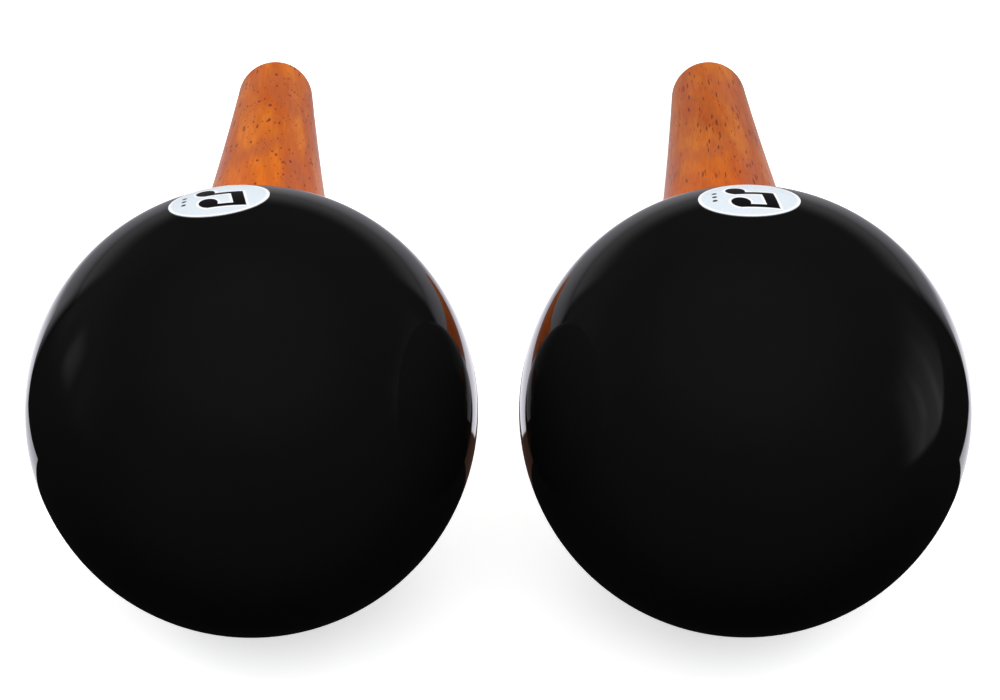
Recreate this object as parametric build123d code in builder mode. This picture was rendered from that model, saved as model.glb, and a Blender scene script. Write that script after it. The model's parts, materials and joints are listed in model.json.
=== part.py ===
"""A pair of maracas lying side by side on a table, heads to the front and handles to the back.

Each maraca is a hollow lacquered fibreglass ball, moulded as two half shells that are joined by a band
inside, on a turned wooden handle. The handle's tenon goes through the rear shell and a wooden block,
and a screw and washer pull it tight from inside. Loose steel shot in the ball makes the sound.

Frame: millimetres, +X to the right, +Y from the heads towards the handles, +Z up. The origin is on
the table, at the middle of the pair's footprint. A maraca rests on its head and its handle's end, so
its axis slopes down towards the end.
"""

from build123d import *
from math import asin, atan, cos, degrees, radians, sin, sqrt
import os

# Driving dimensions of one maraca
head_radius = 50.0
shell_wall = 2.0
overall_length = 256.0
handle_end_radius = 9.3
handle_base_radius = 20.5
handle_end_taper = 0.055  # millimetres of radius per millimetre, where the end dome begins
handle_edge_round = 0.8

# The pair
centre_spacing = 109.0
sides = {"left": -centre_spacing / 2, "right": centre_spacing / 2}

# The joint between the half shells
band_half_width = 5.0
band_thickness = 1.0

# How the handle is fixed to the rear shell
tenon_radius = 8.0
block_radius = 17.0
block_face = 41.5  # distance from the head's centre, as are the stations below
tenon_end = 42.0
washer_radius = 11.0
washer_hole_radius = 2.3
washer_thickness = 1.5
screw_head_radius = 4.0
screw_head_height = 2.6
screw_length = 32.0
thread_start = 4.0  # from under the head
thread_pitch = 1.8
thread_root_radius = 1.4
thread_crest_radius = 2.0
screw_point = 3.0
recess_width = 1.1
recess_span = 4.6
recess_depth = 1.5
pilot_depth = 31.0

# The round sticker on each head
label_radius = 11.25  # measured along the surface
label_thickness = 0.15
label_from_handle = {"left": 85.0, "right": 86.3}  # degrees between the sticker's middle and the handle
label_roll = {"left": -7.8, "right": 0.1}  # degrees about the handle, from the top

# The loose shot: a bed of balls on the wall, and two handfuls that lie on it
shot_radius = 2.0
shot_clearance = 0.3
shot_pitch = 4.3
bed_first_row = 1.2
bed_rows = 5
bed_half_count = 4
handful_rows = 3
handful_columns = 4

inner_radius = head_radius - shell_wall
end_station = overall_length - head_radius - handle_end_radius  # centre of the handle's end dome
slope = asin((head_radius - handle_end_radius) / end_station)
footprint_length = head_radius + end_station * cos(slope) + handle_end_radius
head_y = head_radius - footprint_length / 2


def on_sphere(radius, distance):
    """How far along the axis a sphere about the head's centre is, at this distance from the axis."""
    return sqrt(radius**2 - distance**2)


def lengthwise_plane(x):
    """The plane through a maraca's axis: its X is the distance from the axis, its Y runs up the handle."""
    centre = (x, head_y, head_radius)
    return Plane(origin=centre, x_dir=(1, 0, 0), z_dir=(0, sin(slope), cos(slope)))


def handle_axis(plane):
    return Axis(plane.origin, plane.y_dir)


def crosswise_plane(plane, station, facing=1):
    """The plane across the axis at a station, facing the handle's end, or the head's front with -1."""
    origin = plane.from_local_coords(Vector(0, station, 0))
    return Plane(origin=origin, x_dir=plane.x_dir, z_dir=plane.y_dir * facing)


def save(piece, name):
    piece.part.label = name
    export_step(piece.part, f"parts/{name}.step")


def make_front_shell(plane):
    """The half of the ball away from the handle."""
    with BuildPart() as front_shell:
        with BuildSketch(plane):
            with BuildLine():
                outer = CenterArc((0, 0), head_radius, -90, 90)
                inner = CenterArc((0, 0), inner_radius, -90, 90)
                Line(outer @ 0, inner @ 0)
                Line(outer @ 1, inner @ 1)
            make_face()
        revolve(axis=handle_axis(plane))
    return front_shell


def make_rear_shell(plane):
    """The half of the ball on the handle's side, with the hole for the tenon."""
    outer_hole_angle = degrees(asin(tenon_radius / head_radius))
    inner_hole_angle = degrees(asin(tenon_radius / inner_radius))
    with BuildPart() as rear_shell:
        with BuildSketch(plane):
            with BuildLine():
                outer = CenterArc((0, 0), head_radius, 0, 90 - outer_hole_angle)
                inner = CenterArc((0, 0), inner_radius, 0, 90 - inner_hole_angle)
                Line(outer @ 0, inner @ 0)
                Line(outer @ 1, inner @ 1)
            make_face()
        revolve(axis=handle_axis(plane))
    return rear_shell


def make_joining_band(plane):
    """The strip bonded inside the ball, over the line where the half shells meet."""
    half_angle = degrees(asin(band_half_width / inner_radius))
    with BuildPart() as joining_band:
        with BuildSketch(plane):
            with BuildLine():
                outer = CenterArc((0, 0), inner_radius, -half_angle, 2 * half_angle)
                inner = CenterArc((0, 0), inner_radius - band_thickness, -half_angle, 2 * half_angle)
                Line(outer @ 0, inner @ 0)
                Line(outer @ 1, inner @ 1)
            make_face()
        revolve(axis=handle_axis(plane))
    return joining_band


def make_neck_block(plane):
    """The wooden block that backs the thin rear shell around the tenon."""
    with BuildPart() as neck_block:
        with BuildSketch(plane):
            with BuildLine():
                back = RadiusArc(
                    (block_radius, on_sphere(inner_radius, block_radius)),
                    (tenon_radius, on_sphere(inner_radius, tenon_radius)),
                    -inner_radius,
                )
                Polyline(back @ 1, (tenon_radius, block_face), (block_radius, block_face), back @ 0)
            make_face()
        revolve(axis=handle_axis(plane))
    return neck_block


def make_handle(plane):
    """The turned handle: a domed end, a flank that swells towards the head, a seat and a tenon."""
    dome_edge = degrees(atan(handle_end_taper))
    base_station = on_sphere(head_radius, handle_base_radius)
    with BuildPart() as handle:
        with BuildSketch(plane):
            with BuildLine():
                dome = CenterArc((0, end_station), handle_end_radius, dome_edge, 90 - dome_edge)
                tip = dome @ 1
                flank_end = dome @ 0
                # The flank is a parabola, whose two end tangents meet half way along it.
                middle_station = (flank_end.Y + base_station) / 2
                middle_radius = flank_end.X + handle_end_taper * (flank_end.Y - middle_station)
                Bezier(flank_end, (middle_radius, middle_station), (handle_base_radius, base_station))
                seat = RadiusArc(
                    (handle_base_radius, base_station),
                    (tenon_radius, on_sphere(head_radius, tenon_radius)),
                    -head_radius,
                )
                Polyline(seat @ 1, (tenon_radius, tenon_end), (0, tenon_end), tip)
            make_face()
        revolve(axis=handle_axis(plane))
        base_edge = handle.edges().filter_by(lambda edge: edge.is_closed).sort_by(SortBy.RADIUS)[-1]
        fillet(base_edge, handle_edge_round)
        with Locations(crosswise_plane(plane, tenon_end, facing=-1)):
            Hole(thread_root_radius, depth=pilot_depth)
    return handle


def make_screw_washer(plane):
    with BuildPart() as screw_washer:
        with BuildSketch(crosswise_plane(plane, block_face - washer_thickness)):
            Circle(washer_radius)
            Circle(washer_hole_radius, mode=Mode.SUBTRACT)
        extrude(amount=washer_thickness)
        rims = screw_washer.edges().filter_by(GeomType.CIRCLE).group_by(SortBy.RADIUS)
        chamfer(rims[-1], 0.3)
    return screw_washer


def make_handle_screw(plane):
    """A pan head wood screw, with its thread as separate ridges and a cross recess."""
    under_head = block_face - washer_thickness
    thread_end = under_head + screw_length - screw_point
    head_top = under_head - screw_head_height
    with BuildPart() as handle_screw:
        with BuildSketch(plane):
            with BuildLine():
                crown = ThreePointArc(
                    (0, head_top),
                    (screw_head_radius * 0.62, head_top + screw_head_height * 0.16),
                    (screw_head_radius, head_top + screw_head_height * 0.6),
                )
                ridges = []
                station = under_head + thread_start
                while station + thread_pitch < thread_end:
                    ridges += [
                        (thread_root_radius, station),
                        (thread_crest_radius, station + thread_pitch * 0.4),
                        (thread_root_radius, station + thread_pitch * 0.8),
                    ]
                    station += thread_pitch
                Polyline(
                    crown @ 1,
                    (screw_head_radius, under_head),
                    (thread_root_radius, under_head),
                    *ridges,
                    (thread_root_radius, thread_end),
                    (0, thread_end + screw_point),
                    crown @ 0,
                )
            make_face()
        revolve(axis=handle_axis(plane))
        with BuildSketch(crosswise_plane(plane, head_top)):
            Rectangle(recess_span, recess_width)
            Rectangle(recess_width, recess_span)
        extrude(amount=recess_depth, mode=Mode.SUBTRACT)
    return handle_screw


def make_label(plane, from_handle, roll):
    """The thin round sticker, curved to lie on the head."""
    tilt = radians(from_handle)
    local_normal = Vector(sin(tilt) * sin(radians(roll)), cos(tilt), sin(tilt) * cos(radians(roll)))
    normal = plane.from_local_coords(local_normal) - plane.origin
    across = normal.cross(plane.y_dir)
    label_plane = Plane(origin=plane.origin, x_dir=across, z_dir=across.cross(normal))
    half_angle = degrees(label_radius / head_radius)
    with BuildPart() as label:
        with BuildSketch(label_plane):
            with BuildLine():
                back = CenterArc((0, 0), head_radius, 90 - half_angle, half_angle)
                face = CenterArc((0, 0), head_radius + label_thickness, 90 - half_angle, half_angle)
                Line(back @ 0, face @ 0)
                Line(back @ 1, face @ 1)
            make_face()
        revolve(axis=Axis(label_plane.origin, normal))
    return label


def wall_radius(station):
    """Radius of what the shot lies on at a station: the band near the middle, else the shell."""
    over_band = abs(station) < band_half_width + shot_radius + shot_clearance
    return inner_radius - (band_thickness if over_band else 0)


def shot_place(plane, station, sideways, layer):
    """Centre of a ball in a layer: sideways is measured round the wall, from the lowest line."""
    lift = shot_radius + shot_clearance + layer * (2 * shot_radius + shot_clearance)
    distance = on_sphere(wall_radius(station) - lift, station)
    angle = sideways / distance
    return plane.from_local_coords(Vector(distance * sin(angle), station, -distance * cos(angle)))


def make_shot(places):
    with BuildPart() as shot:
        with Locations(*places):
            Sphere(shot_radius)
    return shot


def bed_places(plane):
    """The bed of shot on the wall, about the ball's lowest point."""
    return [
        shot_place(plane, bed_first_row + row * shot_pitch, column * shot_pitch, layer=0)
        for row in range(bed_rows)
        for column in range(-bed_half_count, bed_half_count + 1)
    ]


def handful_places(plane, side):
    """A handful on the bed's left half with -1, or on its right half with 1."""
    return [
        shot_place(
            plane,
            bed_first_row + row * shot_pitch,
            side * (0.5 + column) * shot_pitch,
            layer=1,
        )
        for row in range(1, handful_rows + 1)
        for column in range(handful_columns)
    ]


def make_maraca(side, x):
    plane = lengthwise_plane(x)
    save(make_front_shell(plane), f"{side}_front_shell")
    save(make_rear_shell(plane), f"{side}_rear_shell")
    save(make_joining_band(plane), f"{side}_joining_band")
    save(make_neck_block(plane), f"{side}_neck_block")
    save(make_handle(plane), f"{side}_handle")
    save(make_screw_washer(plane), f"{side}_screw_washer")
    save(make_handle_screw(plane), f"{side}_handle_screw")
    save(make_label(plane, label_from_handle[side], label_roll[side]), f"{side}_label")
    save(make_shot(bed_places(plane)), f"{side}_shot_bed")
    save(make_shot(handful_places(plane, -1)), f"{side}_shot_thrown")
    save(make_shot(handful_places(plane, 1)), f"{side}_shot_bouncing")


os.makedirs("parts", exist_ok=True)
for side, x in sides.items():
    make_maraca(side, x)
print(f"axis slopes {degrees(slope):.3f} degrees, head centre at y {head_y:.3f}")
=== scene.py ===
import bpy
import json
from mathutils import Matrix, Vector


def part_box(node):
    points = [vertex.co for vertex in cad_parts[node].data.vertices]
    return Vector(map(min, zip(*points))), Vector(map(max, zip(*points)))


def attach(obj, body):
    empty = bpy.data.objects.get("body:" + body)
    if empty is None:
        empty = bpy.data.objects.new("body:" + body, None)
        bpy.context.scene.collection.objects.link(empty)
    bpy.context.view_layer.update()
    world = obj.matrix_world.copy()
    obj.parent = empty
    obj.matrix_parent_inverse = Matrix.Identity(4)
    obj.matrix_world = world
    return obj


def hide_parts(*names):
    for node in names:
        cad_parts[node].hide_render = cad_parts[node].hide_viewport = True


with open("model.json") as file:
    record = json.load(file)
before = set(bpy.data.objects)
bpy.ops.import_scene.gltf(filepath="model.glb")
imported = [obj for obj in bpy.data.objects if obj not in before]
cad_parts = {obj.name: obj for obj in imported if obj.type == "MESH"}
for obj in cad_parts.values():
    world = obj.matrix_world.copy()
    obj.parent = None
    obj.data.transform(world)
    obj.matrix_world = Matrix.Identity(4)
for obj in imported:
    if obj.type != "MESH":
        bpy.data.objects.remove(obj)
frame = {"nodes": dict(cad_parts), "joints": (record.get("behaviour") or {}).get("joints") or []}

"""A pair of maracas in a studio: gloss black heads, lacquered wooden handles and round stickers.

The shells, handles and stickers are turned here as smooth meshes with their own surface detail, and
stand for their CAD nodes. The pieces inside the heads are the CAD nodes with procedural materials.
Metres throughout. A turned piece is made in a frame of its own, with the origin at its head's centre,
and its mesh is then put in place; its materials count from that same frame.
"""

import json
from math import asin, atan, cos, pi, radians, sin, sqrt

import bmesh
import bpy
from mathutils import Matrix, Vector

MM = 0.001
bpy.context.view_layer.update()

SIDES = ("left", "right")

# Sizes that the boxes of the CAD nodes don't give
SHELL_WALL = 2.0 * MM
OVERALL_LENGTH = 256.0 * MM
TENON_RADIUS = 8.0 * MM
TENON_END = 42.0 * MM
PILOT_RADIUS = 1.4 * MM
PILOT_DEPTH = 31.0 * MM
HANDLE_END_RADIUS = 9.3 * MM
HANDLE_BASE_RADIUS = 20.5 * MM
HANDLE_END_TAPER = 0.055
HANDLE_EDGE_ROUND = 0.8 * MM
STICKER_RADIUS = 11.25 * MM
STICKER_THICKNESS = 0.15 * MM
STICKER_GAP = 0.01 * MM  # between the sticker's back and the lacquer
STICKER_FROM_HANDLE = {"left": radians(85.0), "right": radians(86.3)}
STICKER_ROLL = {"left": radians(-7.8), "right": radians(0.1)}

# Steps round the axis of the turned meshes
SHELL_SEGMENTS = 224
HANDLE_SEGMENTS = 128
STICKER_SEGMENTS = 128
SHARP_EDGE = radians(30)


# ---------------------------------------------------------------- geometry

def head_of(side):
    """(centre, radius, handle direction) of a maraca's head, from the CAD."""
    low_front, high_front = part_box(f"{side}_front_shell")
    low_rear, high_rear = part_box(f"{side}_rear_shell")
    low = Vector(min(pair) for pair in zip(low_front, low_rear))
    high = Vector(max(pair) for pair in zip(high_front, high_rear))
    joint = next(j for j in frame["joints"] if j["name"] == f"{side}_shot_swirl")
    return (low + high) / 2, (high.x - low.x) / 2, Vector(joint["axis"]).normalized()


def axes_matrix(origin, x_dir, z_dir):
    """The matrix of a frame with this origin, X and Z."""
    z_dir = z_dir.normalized()
    y_dir = z_dir.cross(x_dir).normalized()
    x_dir = y_dir.cross(z_dir)
    rotation = Matrix((x_dir, y_dir, z_dir)).transposed()
    return Matrix.Translation(origin) @ rotation.to_4x4()


def arc(radius, start, end, steps, centre=0.0):
    """Points (distance from the axis, station) on an arc; an angle of 0 is square to the axis."""
    angles = [start + (end - start) * i / steps for i in range(steps + 1)]
    return [(radius * cos(a), centre + radius * sin(a)) for a in angles]


def quadratic(start, control, end, steps):
    """Points on a quadratic curve, both ends included."""
    points = []
    for i in range(steps + 1):
        t = i / steps
        weights = ((1 - t) ** 2, 2 * t * (1 - t), t**2)
        points.append(tuple(
            sum(w * p[axis] for w, p in zip(weights, (start, control, end))) for axis in (0, 1)
        ))
    return points


def lathe(name, profile, segments):
    """A closed mesh turned about Z from a closed profile of (distance from the axis, station)."""
    mesh = bmesh.new()
    rings = []
    for radius, station in profile:
        if radius < 1e-7:
            rings.append([mesh.verts.new((0, 0, station))] * segments)
        else:
            turns = (2 * pi * i / segments for i in range(segments))
            rings.append([mesh.verts.new((radius * cos(t), radius * sin(t), station)) for t in turns])
    for ring, following in zip(rings, rings[1:] + rings[:1]):
        for i in range(segments):
            j = (i + 1) % segments
            corners = []
            for vert in (ring[i], ring[j], following[j], following[i]):
                if vert not in corners:
                    corners.append(vert)
            if len(corners) > 2:
                mesh.faces.new(corners)
    bmesh.ops.recalc_face_normals(mesh, faces=mesh.faces)
    for face in mesh.faces:
        face.smooth = True
    for edge in mesh.edges:
        edge.smooth = edge.calc_face_angle(0.0) < SHARP_EDGE
    data = bpy.data.meshes.new(name)
    mesh.to_mesh(data)
    mesh.free()
    piece = bpy.data.objects.new(name, data)
    bpy.context.scene.collection.objects.link(piece)
    return piece


def use_ball_normals(piece, centre):
    """Gives faces that lie on a ball its exact normals, so that reflections cross seams unbroken."""
    data = piece.data
    normals = [None] * len(data.loops)
    for polygon in data.polygons:
        facing = polygon.normal.dot((polygon.center - centre).normalized())
        for loop in polygon.loop_indices:
            outward = (data.vertices[data.loops[loop].vertex_index].co - centre).normalized()
            on_ball = abs(facing) > 0.99
            normals[loop] = outward * (1 if facing > 0 else -1) if on_ball else polygon.normal
    data.normals_split_custom_set(normals)


def shell_piece(side, which, radius, matrix, skin, lining):
    """Half of a head: the front one is whole, the rear one has the tenon's hole."""
    inner = radius - SHELL_WALL
    if which == "front":
        outer_arc = arc(radius, -pi / 2, 0, 64)
        inner_arc = arc(inner, 0, -pi / 2, 32)
    else:
        outer_arc = arc(radius, 0, pi / 2 - asin(TENON_RADIUS / radius), 64)
        inner_arc = arc(inner, pi / 2 - asin(TENON_RADIUS / inner), 0, 32)
    piece = lathe(f"{side}_{which}_shell_gloss", outer_arc + inner_arc, SHELL_SEGMENTS)
    piece.data.materials.append(skin)
    piece.data.materials.append(lining)
    for polygon in piece.data.polygons:
        distance = max(piece.data.vertices[v].co.length for v in polygon.vertices)
        polygon.material_index = int(distance < radius - SHELL_WALL / 2)
    piece.data.transform(matrix)
    use_ball_normals(piece, matrix.translation)
    return piece


def handle_piece(side, radius, matrix, wood):
    """The turned handle, with its seat on the head, its tenon and the screw's pilot hole."""
    end_station = OVERALL_LENGTH - radius - HANDLE_END_RADIUS
    dome = arc(HANDLE_END_RADIUS, pi / 2, atan(HANDLE_END_TAPER), 24, centre=end_station)
    base = (HANDLE_BASE_RADIUS, sqrt(radius**2 - HANDLE_BASE_RADIUS**2))
    flank_end = dome[-1]
    middle = (flank_end[1] + base[1]) / 2
    control = (flank_end[0] + HANDLE_END_TAPER * (flank_end[1] - middle), middle)
    flank = quadratic(flank_end, control, base, 96)[1:-1]
    round_angle = HANDLE_EDGE_ROUND / radius
    base_angle = atan(base[1] / base[0])
    seat = arc(radius, base_angle + round_angle, pi / 2 - asin(TENON_RADIUS / radius), 12)
    rounded = quadratic(flank[-1], base, seat[0], 8)[1:-1]
    tenon = [(TENON_RADIUS, TENON_END), (PILOT_RADIUS, TENON_END)]
    pilot = [(PILOT_RADIUS, TENON_END + PILOT_DEPTH), (0, TENON_END + PILOT_DEPTH)]
    profile = dome + flank + rounded + seat + tenon + pilot
    piece = lathe(f"{side}_handle_turned", profile, HANDLE_SEGMENTS)
    piece.data.materials.append(wood)
    piece.data.transform(matrix)
    return piece


def sticker_piece(side, radius, matrix, paper):
    """The round sticker: a thin patch of a ball, with Z out through its middle."""
    edge = pi / 2 - STICKER_RADIUS / radius
    face = arc(radius + STICKER_THICKNESS, pi / 2, edge, 32)
    back = arc(radius + STICKER_GAP, edge, pi / 2, 16)
    piece = lathe(f"{side}_sticker", face + back, STICKER_SEGMENTS)
    piece.data.materials.append(paper)
    piece.data.transform(matrix)
    use_ball_normals(piece, matrix.translation)
    return piece


# ---------------------------------------------------------------- node helpers

def node(tree, kind, inputs=None, **settings):
    """A node of this kind, with its inputs set or linked."""
    made = tree.nodes.new(kind)
    for name, value in settings.items():
        setattr(made, name, value)
    for name, value in (inputs or {}).items():
        if isinstance(value, bpy.types.NodeSocket):
            tree.links.new(value, made.inputs[name])
        else:
            made.inputs[name].default_value = value
    return made


def calc(tree, operation, *values):
    """The result of a Math node."""
    return node(tree, "ShaderNodeMath", dict(enumerate(values)), operation=operation).outputs[0]


def step(tree, value, low, high, out_low=0.0, out_high=1.0):
    """value taken smoothly from the range low to high over to out_low to out_high."""
    inputs = {"Value": value, "From Min": low, "From Max": high, "To Min": out_low, "To Max": out_high}
    return node(tree, "ShaderNodeMapRange", inputs, interpolation_type="SMOOTHSTEP").outputs[0]


def mix(tree, factor, first, second, kind="MIX"):
    """Two colours mixed."""
    made = node(tree, "ShaderNodeMix", data_type="RGBA", blend_type=kind)
    for index, value in ((0, factor), (6, first), (7, second)):
        if isinstance(value, bpy.types.NodeSocket):
            tree.links.new(value, made.inputs[index])
        else:
            made.inputs[index].default_value = value
    return made.outputs[2]


def place(tree, scale=(1, 1, 1), turn=(0, 0, 0), shift=(0, 0, 0), frame_of=None):
    """The piece's own coordinates, or those in a frame of it, moved, turned and scaled."""
    own = node(tree, "ShaderNodeTexCoord").outputs["Object"]
    if frame_of is not None:
        inputs = {"Vector": own, "Location": frame_of.translation, "Rotation": frame_of.to_euler()}
        own = node(tree, "ShaderNodeMapping", inputs, vector_type="TEXTURE").outputs[0]
    inputs = {"Vector": own, "Scale": scale, "Rotation": turn, "Location": shift}
    return node(tree, "ShaderNodeMapping", inputs).outputs[0]


def noise(tree, vector, scale=1.0, detail=3.0, roughness=0.5):
    inputs = {"Vector": vector, "Scale": scale, "Detail": detail, "Roughness": roughness}
    return node(tree, "ShaderNodeTexNoise", inputs).outputs[0]


def bump(tree, height, distance, strength=1.0, under=None):
    inputs = {"Height": height, "Distance": distance, "Strength": strength}
    if under is not None:
        inputs["Normal"] = under
    return node(tree, "ShaderNodeBump", inputs).outputs[0]


def surface(name, **plain):
    """(material, tree, Principled node) with these inputs set, named with _ for a space."""
    material = bpy.data.materials.new(name)
    material.use_nodes = True
    tree = material.node_tree
    shader = tree.nodes["Principled BSDF"]
    for key, value in plain.items():
        shader.inputs[key.replace("_", " ")].default_value = value
    return material, tree, shader


def grey(value):
    return (value, value, value, 1)


# ---------------------------------------------------------------- materials

PORE_REACH = 0.28  # of a pore's place, in the cells that the pores are laid out in
LAYER_TURNS = 1500.0  # radians of the growth layers' wave for each metre


def gloss_black(turned, shift):
    """Black lacquer, polished to a mirror, with faint orange peel, haze and hairline marks."""
    material, tree, shader = surface("gloss_black_lacquer", IOR=1.5)
    haze = noise(tree, place(tree, shift=shift, frame_of=turned), scale=22, detail=4)
    tint = mix(tree, step(tree, haze, 0.35, 0.7), (0.0056, 0.0056, 0.0057, 1), (0.0063, 0.0062, 0.0062, 1))
    own = place(tree, shift=shift, frame_of=turned)
    specks = node(tree, "ShaderNodeTexVoronoi", {"Vector": own, "Scale": 260})
    dust = step(tree, specks.outputs["Distance"], 0.05, 0.02)
    tree.links.new(mix(tree, calc(tree, "MULTIPLY", dust, 0.15), tint, grey(0.03)),
                   shader.inputs["Base Color"])
    swirls = noise(tree, place(tree, scale=(30, 30, 400), turn=(0.5, 0.9, 0.2), frame_of=turned), detail=2)
    polish = calc(tree, "ADD", step(tree, haze, 0.3, 0.75, 0.015, 0.05),
                  step(tree, swirls, 0.62, 0.75, 0.0, 0.02))
    tree.links.new(polish, shader.inputs["Roughness"])
    peel = noise(tree, place(tree, shift=shift, frame_of=turned), scale=190, detail=1)
    slow = noise(tree, place(tree, shift=shift, frame_of=turned), scale=38, detail=1)
    relief = calc(tree, "ADD", calc(tree, "MULTIPLY", slow, 4.0), peel)
    tree.links.new(bump(tree, relief, 0.006 * MM), shader.inputs["Normal"])
    return material


def bare_fibreglass():
    """The unpainted inside of a shell: resin with a mat of strands under it."""
    material, tree, shader = surface("bare_fibreglass", Roughness=0.55)
    strands = node(tree, "ShaderNodeTexVoronoi", {"Vector": place(tree, scale=(90, 90, 500)), "Scale": 1.0},
                   feature="DISTANCE_TO_EDGE").outputs[0]
    pale = mix(tree, step(tree, strands, 0.0, 0.12), (0.36, 0.35, 0.28, 1), (0.23, 0.24, 0.19, 1))
    cloud = noise(tree, place(tree), scale=60)
    tree.links.new(mix(tree, step(tree, cloud, 0.4, 0.7), pale, (0.19, 0.17, 0.12, 1)),
                   shader.inputs["Base Color"])
    tree.links.new(bump(tree, strands, 0.05 * MM), shader.inputs["Normal"])
    return material


def pores(tree, width, length, share, shift, warp):
    """Open pores cut lengthwise: 1 in a pore, 0 outside. share is about how many places have one."""
    across, along = 2 * PORE_REACH / width, 2 * PORE_REACH / length
    scale = (across, across, along)
    mapped = node(tree, "ShaderNodeMapping", {"Vector": warp, "Scale": scale, "Location": shift}).outputs[0]
    cells = node(tree, "ShaderNodeTexVoronoi", {"Vector": mapped, "Scale": 1.0, "Randomness": 1.0})
    chance = node(tree, "ShaderNodeSeparateColor", {"Color": cells.outputs["Color"]}).outputs[0]
    crowd = noise(tree, node(tree, "ShaderNodeMapping", {"Vector": warp, "Scale": (90, 90, 24)}).outputs[0])
    chance = calc(tree, "ADD", chance, calc(tree, "MULTIPLY", calc(tree, "SUBTRACT", crowd, 0.5), 0.5))
    reach = step(tree, chance, 1 - share, 1.0, -0.04, PORE_REACH * 1.15)
    edge = calc(tree, "SUBTRACT", reach, cells.outputs["Distance"])
    return step(tree, edge, -0.03, 0.07)


def lacquered_wood(side, turned, shades, pore_width, pore_length, figure, shift):
    """Orange-brown hardwood under clear lacquer, with dark pores along the handle."""
    material, tree, shader = surface(
        f"lacquered_wood_{side}", Specular_IOR_Level=0.02, Coat_Weight=0.30, Coat_Roughness=0.10,
        Coat_IOR=1.5, Sheen_Weight=0.22, Sheen_Roughness=0.16, Sheen_Tint=(1.0, 0.86, 0.80, 1)
    )
    own = place(tree, shift=shift, frame_of=turned)
    drift = noise(tree, place(tree, scale=(34, 34, 9), shift=shift, frame_of=turned), detail=2)
    bend = node(tree, "ShaderNodeCombineXYZ",
                {0: calc(tree, "MULTIPLY", calc(tree, "SUBTRACT", drift, 0.5), 0.012 * figure),
                 1: calc(tree, "MULTIPLY", calc(tree, "SUBTRACT", drift, 0.5), -0.009 * figure)})
    warped = node(tree, "ShaderNodeVectorMath", {0: own, 1: bend.outputs[0]}, operation="ADD").outputs[0]
    split = node(tree, "ShaderNodeSeparateXYZ", {0: warped}).outputs

    # Growth layers: sheets that lean across the handle, so that they show as long tongues
    offset = calc(tree, "ADD", split[1], 0.031)
    distance = calc(tree, "SQRT", calc(tree, "ADD", calc(tree, "MULTIPLY", split[0], split[0]),
                                       calc(tree, "MULTIPLY", offset, offset)))
    lean = calc(tree, "MULTIPLY", split[2], 0.10 * figure)
    layers = calc(tree, "SINE", calc(tree, "MULTIPLY", calc(tree, "ADD", distance, lean), LAYER_TURNS))
    layer = step(tree, layers, -0.9, 1.0)

    patches = noise(tree, place(tree, scale=(120, 120, 15), shift=shift, frame_of=turned),
                    detail=4, roughness=0.6)
    purple = noise(tree, place(tree, scale=(100, 100, 26), shift=(3.1, 1.7, 0.4), frame_of=turned), detail=2)
    fibres = noise(tree, place(tree, scale=(1300, 1300, 34), shift=shift, frame_of=turned), detail=3)
    colour = mix(tree, step(tree, patches, 0.38, 0.60), *shades[:2])
    near_head = step(tree, node(tree, "ShaderNodeSeparateXYZ", {0: place(tree, frame_of=turned)}).outputs[2],
                     0.085, 0.145, 0.75, 0.0)
    colour = mix(tree, near_head, colour, shades[2])
    colour = mix(tree, step(tree, layer, 0.0, 1.0, 0.0, 0.35), colour, (0.50, 0.090, 0.010, 1))
    colour = mix(tree, step(tree, purple, 0.50, 0.66, 0.0, 0.6), colour, (0.45, 0.100, 0.030, 1))
    colour = mix(tree, step(tree, fibres, 0.35, 0.75, 0.0, 0.30), colour, (0.42, 0.075, 0.009, 1))

    large = pores(tree, pore_width, pore_length, 0.48, (0.0, 0.0, 0.0), warped)
    more = pores(tree, pore_width * 0.82, pore_length * 0.85, 0.60, (7.3, 2.9, 5.1), warped)
    fine = pores(tree, pore_width * 0.62, pore_length * 0.7, 0.74, (1.7, 8.3, 2.2), warped)
    open_pores = calc(tree, "MAXIMUM", large, more)
    colour = mix(tree, calc(tree, "MULTIPLY", fine, 0.7), colour, (0.27, 0.042, 0.012, 1))
    colour = mix(tree, calc(tree, "MULTIPLY", open_pores, 0.9), colour, (0.17, 0.026, 0.009, 1))
    tree.links.new(colour, shader.inputs["Base Color"])
    tree.links.new(step(tree, fibres, 0.3, 0.7, 0.42, 0.54), shader.inputs["Roughness"])

    turning = noise(tree, place(tree, scale=(60, 60, 420), shift=shift, frame_of=turned), detail=2)
    relief = calc(tree, "SUBTRACT", calc(tree, "MULTIPLY", turning, 0.35), open_pores)
    tree.links.new(bump(tree, relief, 0.012 * MM), shader.inputs["Normal"])
    tree.links.new(bump(tree, turning, 0.004 * MM), shader.inputs["Coat Normal"])
    return material


def bare_wood():
    """The pale block inside the head, sawn and left bare."""
    material, tree, shader = surface("bare_block_wood", Roughness=0.7)
    fibres = noise(tree, place(tree, scale=(40, 900, 900)), detail=3)
    rings = noise(tree, place(tree, scale=(20, 160, 160)), detail=2)
    colour = mix(tree, step(tree, rings, 0.35, 0.65), (0.52, 0.35, 0.19, 1), (0.66, 0.49, 0.30, 1))
    tree.links.new(mix(tree, step(tree, fibres, 0.4, 0.75, 0.0, 0.5), colour, (0.36, 0.22, 0.11, 1)),
                   shader.inputs["Base Color"])
    tree.links.new(bump(tree, fibres, 0.05 * MM), shader.inputs["Normal"])
    return material


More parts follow.
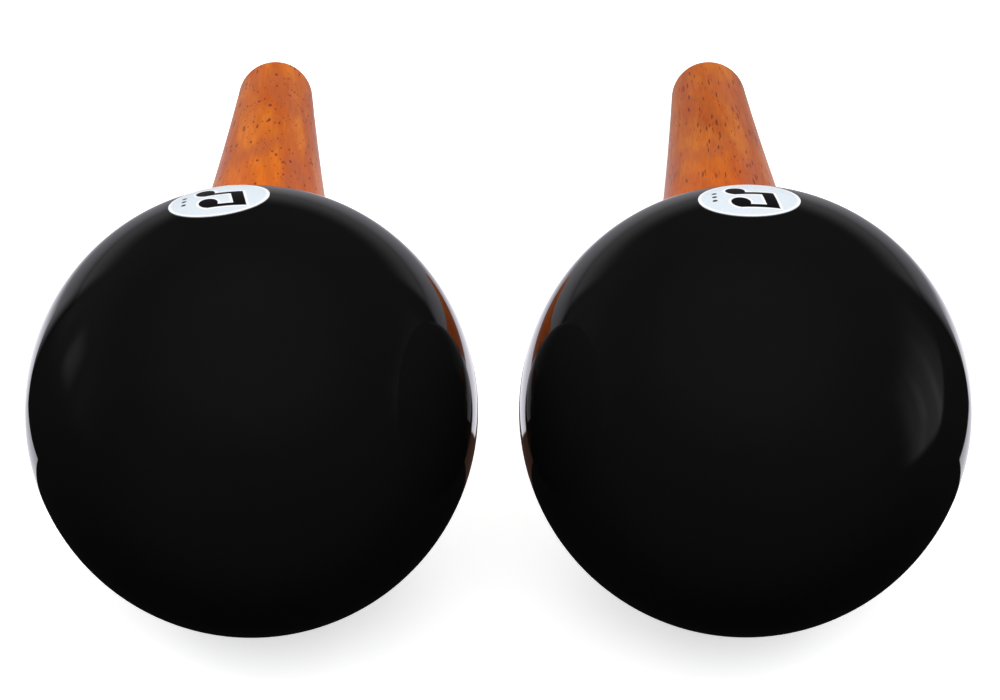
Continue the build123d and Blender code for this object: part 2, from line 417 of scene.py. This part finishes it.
def bonding_strip():
    """A strip of glass cloth in resin, with its weave showing."""
    material, tree, shader = surface("bonding_strip", Roughness=0.5)
    warp = node(tree, "ShaderNodeTexWave", {"Vector": place(tree), "Scale": 160.0, "Distortion": 0.6},
                bands_direction="X").outputs[1]
    weft = node(tree, "ShaderNodeTexWave", {"Vector": place(tree), "Scale": 160.0, "Distortion": 0.6},
                bands_direction="Z").outputs[1]
    weave = calc(tree, "MULTIPLY", warp, weft)
    stain = noise(tree, place(tree), scale=90)
    colour = mix(tree, step(tree, weave, 0.1, 0.7), (0.30, 0.28, 0.20, 1), (0.52, 0.50, 0.41, 1))
    tree.links.new(mix(tree, step(tree, stain, 0.45, 0.75, 0.0, 0.6), colour, (0.30, 0.23, 0.11, 1)),
                   shader.inputs["Base Color"])
    tree.links.new(bump(tree, weave, 0.08 * MM), shader.inputs["Normal"])
    return material


def steel(name, colour, dark, roughness, scale):
    """Plated or plain steel with a clouded finish, small pits and rubbed marks."""
    material, tree, shader = surface(name, Metallic=1.0)
    cloud = noise(tree, place(tree), scale=scale, detail=5, roughness=0.65)
    pits = node(tree, "ShaderNodeTexVoronoi", {"Vector": place(tree), "Scale": scale * 6}).outputs["Distance"]
    worn = mix(tree, step(tree, cloud, 0.35, 0.65), dark, colour)
    tree.links.new(mix(tree, step(tree, pits, 0.16, 0.06, 0.0, 0.5), worn, grey(0.10)),
                   shader.inputs["Base Color"])
    tree.links.new(step(tree, cloud, 0.3, 0.7, roughness * 1.5, roughness), shader.inputs["Roughness"])
    tree.links.new(bump(tree, cloud, 0.03 * MM), shader.inputs["Normal"])
    return material


def sticker_paper(side, facing):
    """A pale blue-white sticker with a white rim, a pair of notes in black and three dots below them."""
    material, tree, shader = surface(f"sticker_print_{side}", Roughness=0.35, Specular_IOR_Level=0.04)
    millimetres = place(tree, scale=(1000, 1000, 1000), frame_of=facing)
    x, y, _ = node(tree, "ShaderNodeSeparateXYZ", {0: millimetres}).outputs

    def box(centre_x, centre_y, half_width, half_height, slope=0.0):
        """Distance outside a box in millimetres, whose top and bottom may slope."""
        aside = calc(tree, "SUBTRACT", x, centre_x)
        above = calc(tree, "SUBTRACT", calc(tree, "SUBTRACT", y, centre_y),
                     calc(tree, "MULTIPLY", aside, slope))
        return calc(tree, "MAXIMUM",
                    calc(tree, "SUBTRACT", calc(tree, "ABSOLUTE", aside), half_width),
                    calc(tree, "SUBTRACT", calc(tree, "ABSOLUTE", above), half_height))

    def oval(centre_x, centre_y, half_width, half_height, turn=0.0):
        """Distance outside an oval in millimetres, near enough at its edge."""
        aside = calc(tree, "SUBTRACT", x, centre_x)
        above = calc(tree, "SUBTRACT", y, centre_y)
        along = calc(tree, "ADD", calc(tree, "MULTIPLY", aside, cos(turn) / half_width),
                     calc(tree, "MULTIPLY", above, sin(turn) / half_width))
        across = calc(tree, "SUBTRACT", calc(tree, "MULTIPLY", above, cos(turn) / half_height),
                      calc(tree, "MULTIPLY", aside, sin(turn) / half_height))
        reach = calc(tree, "SQRT", calc(tree, "ADD", calc(tree, "MULTIPLY", along, along),
                                        calc(tree, "MULTIPLY", across, across)))
        return calc(tree, "MULTIPLY", calc(tree, "SUBTRACT", reach, 1.0), half_height)

    shapes = [
        oval(-3.3, -3.0, 2.8, 2.05, turn=0.35),
        oval(4.3, -2.0, 2.8, 2.05, turn=0.35),
        box(-1.3, 0.8, 0.75, 4.0),
        box(6.3, 1.8, 0.75, 4.0),
        box(2.5, 4.5, 4.55, 1.35, slope=0.13),
    ]
    notes = shapes[0]
    for shape in shapes[1:]:
        notes = calc(tree, "MINIMUM", notes, shape)
    dots = oval(-2.4, -7.6, 0.55, 0.55)
    for dot_x in (0.0, 2.4):
        dots = calc(tree, "MINIMUM", dots, oval(dot_x, -7.6, 0.55, 0.55))
    ink = calc(tree, "MAXIMUM", step(tree, notes, 0.05, -0.05), step(tree, dots, 0.05, -0.05))
    halo = step(tree, notes, 0.62, 0.52)
    reach = oval(0.0, 0.0, 1.0, 1.0)
    rim = step(tree, reach, 9.45, 9.6)

    fibres = noise(tree, place(tree, frame_of=facing), scale=1400, detail=3)
    ground = mix(tree, step(tree, fibres, 0.35, 0.7), (0.715, 0.785, 0.845, 1), (0.745, 0.810, 0.865, 1))
    colour = mix(tree, calc(tree, "MAXIMUM", halo, rim), ground, (0.93, 0.94, 0.95, 1))
    tree.links.new(mix(tree, ink, colour, (0.006, 0.006, 0.007, 1)), shader.inputs["Base Color"])
    tree.links.new(bump(tree, fibres, 0.002 * MM), shader.inputs["Normal"])
    return material


# ---------------------------------------------------------------- the maracas

lining = bare_fibreglass()
looks = {
    "left": {"polish": (0.0, 0.0, 0.0), "wood": (
        [(0.53, 0.100, 0.006, 1), (0.72, 0.182, 0.007, 1), (0.77, 0.145, 0.001, 1)],
        0.78 * MM, 2.4 * MM, 0.5, (0.11, 0.05, 0.02))},
    "right": {"polish": (0.4, 0.2, 0.7), "wood": (
        [(0.42, 0.086, 0.010, 1), (0.60, 0.168, 0.013, 1), (0.65, 0.108, 0.002, 1)],
        0.58 * MM, 6.0 * MM, 1.6, (0.43, 0.27, 0.19))},
}
inside = {
    "joining_band": bonding_strip(),
    "neck_block": bare_wood(),
    "screw_washer": steel("zinc_washer", grey(0.66), (0.50, 0.50, 0.46, 1), 0.28, 260),
    "handle_screw": steel("zinc_screw", (0.68, 0.67, 0.62, 1), grey(0.45), 0.30, 300),
}
shot_steel = steel("worn_shot_steel", grey(0.55), grey(0.30), 0.34, 420)
for group in ("shot_bed", "shot_thrown", "shot_bouncing"):
    inside[group] = shot_steel

for side in SIDES:
    centre, radius, handle_dir = head_of(side)
    body = f"{side}_maraca"
    across = Vector((1, 0, 0))
    turned = axes_matrix(centre, across, handle_dir)
    skin = gloss_black(turned, looks[side]["polish"])

    for which in ("front", "rear"):
        shell = shell_piece(side, which, radius, turned, skin, lining)
        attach(shell, body)
        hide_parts(f"{side}_{which}_shell")

    handle = handle_piece(side, radius, turned, lacquered_wood(side, turned, *looks[side]["wood"]))
    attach(handle, body)
    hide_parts(f"{side}_handle")

    upward = across.cross(handle_dir)
    normal = Matrix.Rotation(STICKER_ROLL[side], 3, handle_dir) @ upward
    normal = normal * sin(STICKER_FROM_HANDLE[side]) + handle_dir * cos(STICKER_FROM_HANDLE[side])
    facing = axes_matrix(centre, -handle_dir, normal)
    sticker = sticker_piece(side, radius, facing, sticker_paper(side, facing))
    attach(sticker, body)
    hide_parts(f"{side}_label")

    for part_name, material in inside.items():
        data = frame["nodes"][f"{side}_{part_name}"].data
        data.materials.clear()
        data.materials.append(material)


# ---------------------------------------------------------------- studio

def sheet(name, corners, matrix, material):
    """A flat sheet for the studio, with these corners in the matrix's XY plane."""
    data = bpy.data.meshes.new(name)
    data.from_pydata([(x, y, 0) for x, y in corners], [], [range(len(corners))])
    flat = bpy.data.objects.new(name, data)
    bpy.context.scene.collection.objects.link(flat)
    flat.matrix_world = matrix
    data.materials.append(material)
    return flat


def only_reflected(flat):
    """Hides a sheet from all but the gloss."""
    flat.visible_camera = False
    flat.visible_diffuse = False
    flat.visible_shadow = False
    flat.visible_transmission = False


def glow(name):
    """(material, tree, Emission node) of a material that only gives off light."""
    material = bpy.data.materials.new(name)
    material.use_nodes = True
    tree = material.node_tree
    tree.nodes.clear()
    lamp = node(tree, "ShaderNodeEmission")
    end = node(tree, "ShaderNodeOutputMaterial")
    tree.links.new(lamp.outputs[0], end.inputs["Surface"])
    return material, tree, lamp


def softbox(name, matrix, width, depth, power):
    """An area light that the gloss doesn't show."""
    light = bpy.data.lights.new(name, "AREA")
    light.shape = "RECTANGLE"
    light.size, light.size_y = width, depth
    light.energy = power
    lamp = bpy.data.objects.new(name, light)
    bpy.context.scene.collection.objects.link(lamp)
    lamp.matrix_world = matrix
    lamp.visible_glossy = False
    lamp.visible_camera = False


def looking(origin, target, up=Vector((0, 0, 1))):
    """The matrix of a camera or light at origin whose -Z points at target."""
    back = (Vector(origin) - Vector(target)).normalized()
    right = up.cross(back).normalized()
    return axes_matrix(Vector(origin), right, back)


FLOOR_HALF = 6
pale = surface(
    "pale_floor", Roughness=0.8, Base_Color=(0.93, 0.93, 0.935, 1), Specular_IOR_Level=0.0,
    Emission_Color=grey(1.0), Emission_Strength=0.62
)[0]
floor_corners = [(-FLOOR_HALF, -FLOOR_HALF), (FLOOR_HALF, -FLOOR_HALF),
                 (FLOOR_HALF, FLOOR_HALF), (-FLOOR_HALF, FLOOR_HALF)]
floor = sheet("floor", floor_corners, Matrix.Identity(4), pale)
floor.visible_glossy = False
floor.visible_diffuse = False

# What the gloss shows of the floor: white beside the handles, greyer with distance, nothing in front,
# and a brown painted shadow in the middle, between the heads and in front of them
TABLE_FRONT, TABLE_BACK = -0.042, 1.6
WHITE_HALF_WIDTH = 0.150
DIM_SPREAD = 0.95  # how much wider the grey part is for each metre back
table_glow, table_tree, table_lamp = glow("table_glow")
table_spot = node(table_tree, "ShaderNodeSeparateXYZ",
                  {0: node(table_tree, "ShaderNodeNewGeometry").outputs["Position"]}).outputs
table_x, table_y = calc(table_tree, "ABSOLUTE", table_spot[0]), table_spot[1]
edge_x = calc(table_tree, "ADD", calc(table_tree, "MULTIPLY", table_y, 0.5), WHITE_HALF_WIDTH)
outside = calc(table_tree, "SUBTRACT", table_x, calc(table_tree, "MAXIMUM", edge_x, WHITE_HALF_WIDTH))
white = calc(table_tree, "MULTIPLY", step(table_tree, outside, -0.002, 0.002, 1.0, 0.0),
             step(table_tree, table_y, 0.025, 0.16, 1.15, 0.0))
dim = calc(table_tree, "MULTIPLY", step(table_tree, table_y, 0.1, 1.2, 0.30, 0.19),
           step(table_tree, table_x, 0.1, 0.9, 1.15, 0.75))
beyond = calc(table_tree, "SUBTRACT", table_x, calc(table_tree, "MULTIPLY", table_y, DIM_SPREAD))
beyond = calc(table_tree, "DIVIDE", calc(table_tree, "SUBTRACT", beyond, WHITE_HALF_WIDTH),
              calc(table_tree, "ADD", table_y, 0.12))
dim = calc(table_tree, "MULTIPLY", dim, step(table_tree, beyond, -0.22, -0.02, 1.0, 0.0))
# Painted shadow: the floor's brown shade between the heads and in front of them, lit only by light bounced
# from the handles
painted_shadow_x = calc(table_tree, "ADD", table_x, calc(table_tree, "MULTIPLY", table_y, 0.25))
painted_shadow = calc(table_tree, "MULTIPLY", step(table_tree, painted_shadow_x, 0.008, 0.011, 1.0, 0.0),
           step(table_tree, table_y, 0.012, 0.030, 1.0, 0.0))
painted_shadow = calc(table_tree, "MAXIMUM", painted_shadow, step(table_tree, table_y, -0.022, -0.019, 1.0, 0.0))
painted_shadow = calc(table_tree, "MULTIPLY", painted_shadow, step(table_tree, table_x, 0.060, 0.080, 1.0, 0.0))
lit = calc(table_tree, "ADD", white, dim)
# The painted shadow glows dark brown, the shaded floor with the handles' bounce light; the rest of the sheet
# glows near white
table_tree.links.new(mix(table_tree, painted_shadow, (0.98, 0.95, 1.04, 1), (0.052, 0.026, 0.019, 1)),
                     table_lamp.inputs["Color"])
table_tree.links.new(calc(table_tree, "MAXIMUM", lit, painted_shadow), table_lamp.inputs["Strength"])
far_half_width = WHITE_HALF_WIDTH + DIM_SPREAD * TABLE_BACK
corners = [(WHITE_HALF_WIDTH, TABLE_FRONT), (WHITE_HALF_WIDTH, 0.0), (far_half_width, TABLE_BACK)]
corners += [(-x, y) for x, y in reversed(corners)]
only_reflected(sheet("table_seen_in_gloss", corners, Matrix.Translation((0, 0, 0.0002)), table_glow))

# A bright room for matt surfaces, and the dark one that the gloss shows
world = bpy.data.worlds.new("studio_room")
bpy.context.scene.world = world
world.use_nodes = True
world_tree = world.node_tree
rays = node(world_tree, "ShaderNodeLightPath")
heading = node(world_tree, "ShaderNodeTexCoord").outputs["Generated"]
east, north, rise = node(world_tree, "ShaderNodeSeparateXYZ", {0: heading}).outputs


def world_calc(operation, *values):
    return calc(world_tree, operation, *values)


def world_step(value, *limits):
    return step(world_tree, value, *limits)


def product(*factors):
    result = factors[0]
    for factor in factors[1:]:
        result = world_calc("MULTIPLY", result, factor)
    return result


overhead = node(world_tree, "ShaderNodeVectorMath", {0: heading, 1: (0.0, -0.326, 0.946)},
                operation="DOT_PRODUCT").outputs["Value"]
room = world_calc("ADD", world_step(north, -0.9, 0.0, 0.022, 0.005),
                  world_step(overhead, 0.45, 1.0, 0.0, 0.042))
within = world_calc("SUBTRACT", world_calc("ABSOLUTE", east), world_calc("MULTIPLY", north, DIM_SPREAD))
sweep = product(
    world_step(within, -0.16, -0.02, 1.0, 0.0), world_step(rise, -0.02, 0.26, 0.17, 0.0),
    world_step(rise, -0.14, -0.05),
)

# Soft glows low down on both sides, such as reflectors or a window far off
cloud_spot = node(world_tree, "ShaderNodeMapping", {"Vector": heading, "Scale": (1, 6, 1.4)}).outputs[0]
cloud = world_step(noise(world_tree, cloud_spot, detail=2), 0.35, 0.65, 0.6, 1.0)
lower_edge = world_calc("SUBTRACT", rise, world_calc("MULTIPLY", north, 0.62))
right_glow = product(
    world_step(east, 0.3, 0.6), world_step(rise, -0.14, 0.38, 0.34, 0.0),
    world_step(lower_edge, -0.50, -0.44), world_step(rise, -0.33, -0.26),
    world_step(north, 0.25, 0.68, 1.0, 0.0), world_step(north, -0.25, 0.15), cloud,
)
left_streak = product(
    world_step(east, -0.6, -0.3, 0.13, 0.0), world_step(north, 0.22, 0.34),
    world_step(north, 0.42, 0.54, 1.0, 0.0), world_step(rise, -0.12, 0.02),
    world_step(rise, 0.08, 0.24, 1.0, 0.0), cloud,
)
left_haze = product(
    world_step(east, -0.6, -0.3, 0.028, 0.0), world_step(north, -0.3, 0.0), world_step(rise, -0.25, 0.0),
    world_step(rise, 0.1, 0.6, 1.0, 0.0), cloud,
)
for glow_part in (sweep, right_glow, left_streak, left_haze):
    room = world_calc("ADD", room, glow_part)
sky = node(world_tree, "ShaderNodeMix",
           {0: rays.outputs["Is Glossy Ray"], 2: world_step(rise, -0.25, 0.35, 0.0, 0.50), 3: room})
sky = node(world_tree, "ShaderNodeMix", {0: rays.outputs["Is Camera Ray"], 2: sky.outputs[0], 3: 1.0})
background = world_tree.nodes["Background"]
background.inputs["Color"].default_value = grey(1.0)
world_tree.links.new(sky.outputs[0], background.inputs["Strength"])

softbox("overhead_softbox", looking((0.0, 0.05, 1.25), (0.0, 0.0, 0.0), Vector((0, 1, 0))), 1.6, 1.4, 3.8)
softbox("front_softbox", looking((0.0, -1.2, 1.45), (0.0, 0.0, 0.05)), 1.6, 1.2, 11.5)
softbox("left_softbox", looking((-1.1, 0.75, 0.45), (0.0, 0.05, 0.05)), 0.9, 0.9, 9.0)
softbox("right_softbox", looking((1.1, 0.75, 0.45), (0.0, 0.05, 0.05)), 0.9, 0.9, 9.0)

# ---------------------------------------------------------------- camera

CAMERA_DOWN = radians(34.9)
CAMERA_YAW = radians(0.63)
CAMERA_DISTANCE = 1.291
CAMERA_LENS = 210.5
CAMERA_RISE = 0.0135  # how far over the heads' centres it aims, and how far to the right
CAMERA_ASIDE = 0.00024
CAMERA_ROLL = radians(0.28)
heads_middle = (head_of("left")[0] + head_of("right")[0]) / 2
forward = Vector((sin(CAMERA_YAW) * cos(CAMERA_DOWN), cos(CAMERA_YAW) * cos(CAMERA_DOWN), -sin(CAMERA_DOWN)))
view_right = forward.cross(Vector((0, 0, 1))).normalized()
view_up = view_right.cross(forward)
aim = heads_middle + view_up * CAMERA_RISE + view_right * CAMERA_ASIDE
camera_data = bpy.data.cameras.new("camera")
camera_data.lens = CAMERA_LENS
camera_data.sensor_width = 36.0
camera_data.clip_end = 50.0
camera = bpy.data.objects.new("camera", camera_data)
bpy.context.scene.collection.objects.link(camera)
camera_up = Vector((-sin(CAMERA_ROLL), 0, cos(CAMERA_ROLL)))
camera.matrix_world = looking(aim - forward * CAMERA_DISTANCE, aim, camera_up)
bpy.context.scene.camera = camera
bpy.context.scene.view_settings.view_transform = "Standard"
